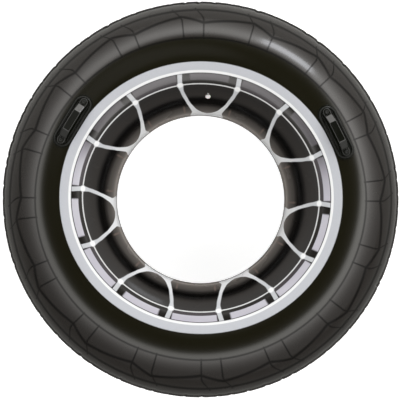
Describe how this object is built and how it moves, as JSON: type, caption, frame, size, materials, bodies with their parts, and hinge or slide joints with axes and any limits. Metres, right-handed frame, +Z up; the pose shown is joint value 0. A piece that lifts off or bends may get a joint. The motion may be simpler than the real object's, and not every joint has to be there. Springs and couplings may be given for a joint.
{
  "type": "swim ring",
  "caption": "Inflatable vinyl swim ring printed like a car tyre with an alloy wheel, with moulded grab handles on its crest and a push-in valve on its inner slope.",
  "frame": {"origin": "on the floor under the middle of the ring, which lies flat", "axes": "+Z up along the ring's axis, +Y towards the valve, +X to the right when the printed side is seen with the valve up"},
  "size_m": [1.02, 1.02, 0.3118],
  "materials": {
    "black_vinyl": "printed soft vinyl film with a satin shine",
    "weld_vinyl": "pressed weld of two vinyl films",
    "handle_vinyl": "moulded soft vinyl, glossy",
    "stud_vinyl": "moulded vinyl, glossy",
    "clear_vinyl": "milky clear moulded vinyl",
    "white_vinyl": "white moulded vinyl"
  },
  "bodies": {
    "ring": {"upper_skin": "black_vinyl", "lower_skin": "black_vinyl", "outer_seam": "weld_vinyl", "inner_seam": "weld_vinyl", "left_handle_base": "handle_vinyl", "right_handle_base": "handle_vinyl", "left_grip": "handle_vinyl", "right_grip": "handle_vinyl", "left_stud_near": "stud_vinyl", "left_stud_far": "stud_vinyl", "right_stud_near": "stud_vinyl", "right_stud_far": "stud_vinyl", "valve_flange": "clear_vinyl"},
    "stem": {"valve_stem": "clear_vinyl"},
    "cap": {"valve_cap": "white_vinyl", "cap_tether": "white_vinyl"},
    "flap": {"check_flap": "clear_vinyl"}
  },
  "joints": [
    {"name": "stem_slide", "type": "slide", "parent": "ring", "child": "stem", "axis": [0, -0.6691, 0.7431], "range_m": [0, 0.011]},
    {"name": "cap_hinge", "type": "hinge", "parent": "stem", "child": "cap", "pos_m": [0, 0.27297, 0.25787], "axis": [-1, 0, 0], "range_deg": [0, 150]},
    {"name": "flap_hinge", "type": "hinge", "parent": "stem", "child": "flap", "pos_m": [0, 0.28222, 0.23969], "axis": [1, 0, 0], "range_deg": [0, 70], "stiffness_Nm_per_rad": 0.0003, "springref_deg": -17.19}
  ]
}
